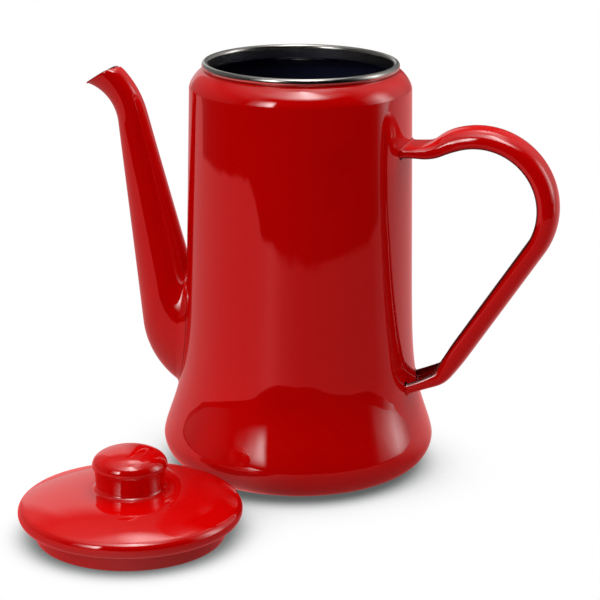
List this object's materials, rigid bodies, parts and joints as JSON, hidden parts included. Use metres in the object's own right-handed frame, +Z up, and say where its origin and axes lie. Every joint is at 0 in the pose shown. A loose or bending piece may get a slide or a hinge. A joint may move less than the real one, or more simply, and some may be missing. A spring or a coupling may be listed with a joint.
{
  "type": "drip coffee pot",
  "caption": "Enamelled steel drip coffee pot with a slim gooseneck spout, a strap handle, a rolled steel mouth and a loose lid with a hollow knob, lying beside it.",
  "frame": {"origin": "centre of the pot's foot, on the table", "axes": "+Z up, +X towards the handle, -X towards the spout; the lid lies on the table on the -Y side"},
  "size_m": [0.1989, 0.1969, 0.17],
  "materials": {
    "enamel_red": "gloss",
    "steel_band": "satin"
  },
  "bodies": {
    "pot": {"body_shell": "enamel_red", "base_pan": "enamel_red", "rim_band": "steel_band", "spout_half_left": "enamel_red", "spout_half_right": "enamel_red", "handle_strap": "enamel_red"},
    "lid": {"lid_cover": "enamel_red", "lid_skirt": "enamel_red", "knob_neck": "enamel_red", "knob_cap": "enamel_red"}
  },
  "joints": [
    {"name": "lid_lift", "type": "slide", "parent": "pot", "child": "lid", "axis": [0, 0, 1], "range_m": [0, 0.2]}
  ]
}
